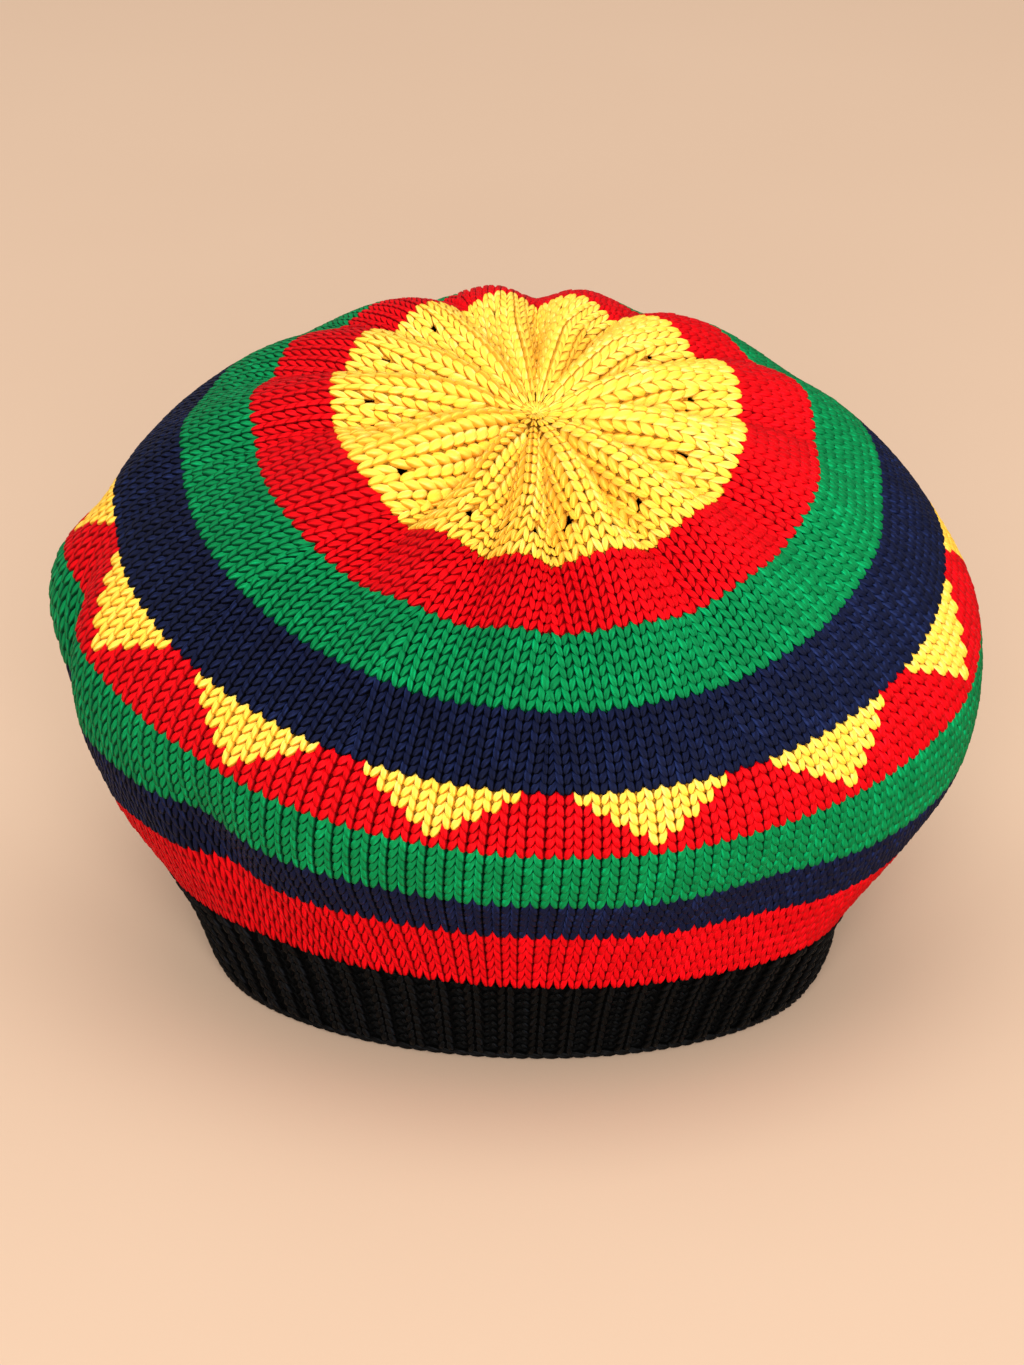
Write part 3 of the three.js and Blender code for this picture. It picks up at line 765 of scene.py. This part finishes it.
def knit_piece(name, node, slot_name, legs, wall, seed):
    """Makes one piece of knitting, rides it on the hat and puts it in a CAD node's place."""
    places, faces, uvs, inside = wall
    first = len(places)
    mesh = bpy.data.meshes.new(name)
    mesh.from_pydata((np.concatenate([places, legs[:, :3]]) * MM).tolist(), [], faces)
    layer = mesh.uv_layers.new(name="UVMap")
    layer.data.foreach_set("uv", [x for face in uvs for corner in face for x in corner])
    mesh.attributes.new("inside", "FLOAT", "FACE").data.foreach_set("value", inside)
    mark = np.arange(len(mesh.vertices)) >= first
    mesh.attributes.new("is_leg", "BOOLEAN", "POINT").data.foreach_set("value", mark)
    for field, start in LEG_FIELDS:
        values = np.zeros((len(mesh.vertices), 3))
        values[first:] = legs[:, start:start + 3] * (MM if field == "size" else 1)
        mesh.attributes.new(field, "FLOAT_VECTOR", "POINT").data.foreach_set(
            "vector", values.ravel())
    piece = bpy.data.objects.new(name, mesh)
    bpy.context.scene.collection.objects.link(piece)
    modifier = piece.modifiers.new("Knitting", "NODES")
    modifier.node_group = knit_legs
    named = {item.name: item.identifier for item in knit_legs.interface.items_tree
             if item.in_out == "INPUT"}
    settings = {"Seed": seed, "Yarn": yarns[slot_name], "Wall": walls[slot_name]}
    for label, value in settings.items():
        modifier[named[label]] = value
    graph = bpy.context.evaluated_depsgraph_get()
    plain = bpy.data.meshes.new_from_object(piece.evaluated_get(graph), depsgraph=graph)
    piece.modifiers.remove(modifier)
    piece.data = plain
    plain.name = name
    for field in ("is_leg", "along", "outward", "size", "yarn"):
        if field in plain.attributes:
            plain.attributes.remove(plain.attributes[field])
    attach(piece, "root")
    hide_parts(node)
    triangles = sum(len(p.vertices) - 2 for p in plain.polygons)
    print(f"{name}: {len(legs)} legs, {triangles} triangles")
    return triangles


total = 0

# %% [markdown]
# The rings from the crown to the ribbed band are plain knitting: three pieces above the
# triangles and three below them.

# %% Knit the plain rings
# Columns: piece, CAD node, yarn, first row, last row, rows of stitches there, their style.
RINGS = [
    ("upper_red_knitting", "upper_red_ring", "red_knit", 20, 27, 7, PLAIN),
    ("upper_green_knitting", "upper_green_ring", "green_knit", 27, 34, 7, PLAIN),
    ("upper_navy_knitting", "upper_navy_ring", "navy_knit", 34, 42, 8, PLAIN),
    ("lower_green_knitting", "lower_green_ring", "green_knit", 48, 54, 6, SHORT),
    ("lower_navy_knitting", "lower_navy_ring", "navy_knit", 54, 59, 5, SHORT),
    ("lower_red_knitting", "lower_red_ring", "red_knit", 59, 65, 6, SHORT),
]
for number, (piece, node, yarn, start, end, knitted_rows, style) in enumerate(RINGS):
    wall = wall_net(np.arange(start, end + 1.0), STITCH_LINES, lambda i, j: True)
    legs = legs_of(stitches_between(start, end, knitted_rows), style)
    total += knit_piece(piece, node, yarn, legs, wall, seed=number + 11)

# %% [markdown]
# The triangles are charted: nine yellow stitches in the top row, then seven, five,
# three and one. Every other stitch of these rows is red.

# %% Knit the triangles and the red between them
chart = stitches_between(TRIANGLE_TOP_ROW, TRIANGLE_BAND_END_ROW,
                         TRIANGLE_BAND_END_ROW - TRIANGLE_TOP_ROW)
chart_lines = np.arange(TRIANGLE_TOP_ROW, TRIANGLE_BAND_END_ROW + 1.0)
red = [s for s in chart if not in_triangle(s[0], s[2])]


def cell_is_yellow(i, j):
    return in_triangle(chart_lines[i] + 0.5, cell_offset(j)[1])


total += knit_piece("red_band_knitting", "red_zigzag_band", "red_knit", legs_of(red, SHORT),
                    wall_net(chart_lines, STITCH_LINES, lambda i, j: not cell_is_yellow(i, j)),
                    seed=31)
for section in range(FOLDS):
    yellow = [s for s in chart if in_triangle(s[0], s[2]) and s[1] == section]
    total += knit_piece(
        f"triangle_knitting_{section + 1}", f"yellow_triangle_{section + 1}", "yellow_knit",
        legs_of(yellow, SHORT), wall_net(
            chart_lines, STITCH_LINES,
            lambda i, j: cell_is_yellow(i, j) and cell_offset(j)[0] == section),
        seed=41 + section)

# %% [markdown]
# The crown is drawn in to its middle. Increases leave small holes about three quarters of the
# way out, one beside each side of a fold. The legs round a hole lean away from it, and the
# wall behind is open there.

# %% Knit the gathered crown with its eyelets
CROWN_END_ROW, CROWN_KNITTED_ROWS = 20, 15
CROWN_LINE_STEP, CROWN_CELLS = 0.5, 18
EYELET_RADIUS, WALL_HOLE_RADIUS, LEG_SHARE_CLEAR = 1.1, 2.5, 0.8
# Columns: row, stitches from the middle of each section.
EYELETS = [(15.4, -1.5), (16.5, 1.5)]
eyelets = [(row, section, offset) for section in range(FOLDS) for row, offset in EYELETS]
hole_rows, hole_sections, hole_offsets = (np.array(c) for c in zip(*eyelets))
holes = stitch_at(hole_rows, hole_sections, hole_offsets)


def clear_of_holes(legs):
    """Moves each leg sideways until its whole length is clear of the nearest hole."""
    to_hole = holes[None, :, :] - legs[:, None, :3]
    along, half = legs[:, None, 3:6], legs[:, None, 11]
    run = np.clip((to_hole * along).sum(-1), -half, half)
    away = run[..., None] * along - to_hole
    distance = np.linalg.norm(away, axis=-1)
    nearest = distance.argmin(axis=1)
    pick = np.arange(len(legs))
    push = np.clip(EYELET_RADIUS + legs[:, 9] * LEG_SHARE_CLEAR - distance[pick, nearest],
                   0, None)
    moved = legs.copy()
    moved[:, :3] += unit(away[pick, nearest]) * push[:, None]
    return moved


crown_legs = clear_of_holes(legs_of(stitches_between(0, CROWN_END_ROW, CROWN_KNITTED_ROWS),
                                    GATHERED))
crown_lines = np.arange(0, CROWN_END_ROW + 0.1, CROWN_LINE_STEP)
crown_turns = np.arange(FOLDS * CROWN_CELLS) / CROWN_CELLS
middle_rows, middle_turns = np.meshgrid(crown_lines[:-1] + CROWN_LINE_STEP / 2,
                                        crown_turns + 1 / (2 * CROWN_CELLS), indexing="ij")
middles = knit_at(middle_rows, middle_turns)
open_cells = (np.linalg.norm(middles[..., None, :] - holes, axis=-1).min(-1)
              < WALL_HOLE_RADIUS)
total += knit_piece("crown_knitting", "yellow_crown", "yellow_knit", crown_legs,
                    wall_net(crown_lines, crown_turns, lambda i, j: not open_cells[i, j]),
                    seed=23)

# %% [markdown]
# The band is ribbed: a column of knit stitches stands out, and beside it a column of purl
# stitches lies back. Here the knitting runs the other way up, so the legs lean together at
# their tops, and the purl column shows a stack of small arches.

# %% Knit the ribbed band
RIB_KNIT = {"tucked": (0.72, 0.40), "round": (-0.60, 0.16), "lifts": (-0.45, 0.85),
            "half_width": 0.25, "half_thick": 0.24, "longer": 1.10}
RIB_PURL = {"tucked": (0.30, 0.44), "round": (-0.14, 0.05), "lifts": (-1.75, -1.35),
            "half_width": 0.14, "half_thick": 0.16, "longer": 1.15}
RIB_COLUMNS = RIBS_PER_FOLD * 2
CAST_ON_ROW, CAST_ON_SLANT, CAST_ON_LIFT = 74.5, 0.12, -0.6
CAST_ON_HALF_WIDTH, CAST_ON_HALF_THICK, CAST_ON_REACH, CAST_ON_LONGER = 1.35, 1.1, 0.62, 1.1
RIB_WALL_OUTSIDE = -1.9


def rib_legs(first_column, style):
    """Legs for every second column of the band, from the first one."""
    wide = STITCHES_PER_FOLD / RIB_COLUMNS
    stitches = [(row + 0.5, section, (column + 0.5) * wide - STITCHES_PER_FOLD / 2, 1.0, wide)
                for row in range(BAND_TOP_ROW, HEM_ROW - 1)
                for section in range(FOLDS)
                for column in range(first_column, RIB_COLUMNS, 2)]
    return legs_of(stitches, style)


def edge_legs():
    """Cast-on loops that lie along the lower edge, one for each column."""
    places = np.arange(FOLDS * RIB_COLUMNS)
    turns = (places + 0.5) / RIB_COLUMNS
    half = CAST_ON_REACH / RIB_COLUMNS
    a = knit_at(CAST_ON_ROW - CAST_ON_SLANT, turns - half, CAST_ON_LIFT)
    b = knit_at(CAST_ON_ROW + CAST_ON_SLANT, turns + half, CAST_ON_LIFT)
    outward = normal_at(np.full(len(turns), CAST_ON_ROW), azimuth_at(CAST_ON_ROW, turns))
    length = np.linalg.norm(b - a, axis=-1)
    size = np.stack([np.full(len(turns), CAST_ON_HALF_WIDTH),
                     np.full(len(turns), CAST_ON_HALF_THICK), length / 2 * CAST_ON_LONGER],
                    axis=-1)
    return np.concatenate([(a + b) / 2, unit(b - a), outward, size], axis=-1)


band_legs = np.concatenate([rib_legs(0, RIB_KNIT), rib_legs(1, RIB_PURL), edge_legs()])
rib_lines = np.arange(FOLDS * RIB_COLUMNS * 2) / (RIB_COLUMNS * 2)
total += knit_piece("ribbed_band_knitting", "ribbed_headband", "black_rib", band_legs,
                    wall_net(np.arange(BAND_TOP_ROW, HEM_ROW + 1.0), rib_lines,
                             lambda i, j: True, lifts=(RIB_WALL_OUTSIDE, -RIB_THICKNESS)),
                    seed=71)
print("triangles in all:", total)

# %% [markdown]
# The hat stands on a warm pale sheet under large soft lights, one over it and one in front.
# The camera is as far and as high as in the photograph.

# %% Floor, lights and camera
FLOOR_REACH, FLOOR_TONES = 6.0, ((204, 173, 147), (209, 179, 153))


def floor_material():
    """A warm pale sheet with faint clouds and a fine grain."""
    material, nodes = new_material("pale_sheet")
    spot = nodes.add("ShaderNodeTexCoord").outputs["Object"]
    cloud = nodes.add("ShaderNodeTexNoise", {
        "Vector": spot, "Scale": 3.0, "Detail": 3.0}).outputs["Fac"]
    colour = nodes.blend(cloud, *(linear(*tone) for tone in FLOOR_TONES))
    grain = nodes.add("ShaderNodeTexNoise", {
        "Vector": spot, "Scale": 700.0, "Detail": 2.0}).outputs["Fac"]
    bump = nodes.add("ShaderNodeBump", {
        "Height": grain, "Strength": 0.1, "Distance": 0.0002}).outputs[0]
    finish_material(nodes, colour, bump, 0.85, 0.1)
    return material


floor_mesh = bpy.data.meshes.new("floor")
floor_mesh.from_pydata([(x * FLOOR_REACH, y * FLOOR_REACH, 0)
                        for x, y in ((-1, -1), (1, -1), (1, 1), (-1, 1))], [], [(0, 1, 2, 3)])
floor = bpy.data.objects.new("floor", floor_mesh)
floor_mesh.materials.append(floor_material())
bpy.context.scene.collection.objects.link(floor)


def aim(thing, target):
    """Turns a light or camera so that it looks at a place."""
    direction = np.array(target) - np.array(thing.location)
    flat = math.hypot(direction[0], direction[1])
    thing.rotation_euler = (math.pi / 2 + math.atan2(direction[2], flat), 0,
                            math.atan2(-direction[0], direction[1]))


LIGHTS_AIM, WORLD_COLOUR, WORLD_STRENGTH = (0, 0, 0.08), (1.0, 0.97, 0.94, 1), 0.66
# Columns: name, place, width, watts.
LIGHTS = [("over", (0.1, -0.35, 2.1), 1.6, 19), ("front", (0.1, -5.6, 2.6), 2.8, 470)]
for name, place, width, watts in LIGHTS:
    light = bpy.data.lights.new(name, "AREA")
    light.size, light.energy = width, watts
    lamp = bpy.data.objects.new(name, light)
    lamp.location = place
    aim(lamp, LIGHTS_AIM)
    bpy.context.scene.collection.objects.link(lamp)
world = bpy.data.worlds.new("studio")
world.use_nodes = True
background = world.node_tree.nodes["Background"]
background.inputs[0].default_value = WORLD_COLOUR
background.inputs[1].default_value = WORLD_STRENGTH
bpy.context.scene.world = world
bpy.context.scene.view_settings.view_transform = "Standard"

CAMERA_TARGET, CAMERA_DISTANCE, CAMERA_HEIGHT_ANGLE = (-0.0006, 0.0032, 0.0909), 1.504, 25
FRAME_HEIGHT, SENSOR = 0.4368, 36
lens = bpy.data.cameras.new("camera")
lens.sensor_fit, lens.sensor_height = "VERTICAL", SENSOR
lens.lens = SENSOR * CAMERA_DISTANCE / FRAME_HEIGHT
camera = bpy.data.objects.new("camera", lens)
angle = math.radians(CAMERA_HEIGHT_ANGLE)
camera.location = (CAMERA_TARGET[0], CAMERA_TARGET[1] - CAMERA_DISTANCE * math.cos(angle),
                   CAMERA_TARGET[2] + CAMERA_DISTANCE * math.sin(angle))
aim(camera, CAMERA_TARGET)
bpy.context.scene.collection.objects.link(camera)
bpy.context.scene.camera = camera
print("camera:", [round(x, 4) for x in camera.location], "lens", round(lens.lens, 1))
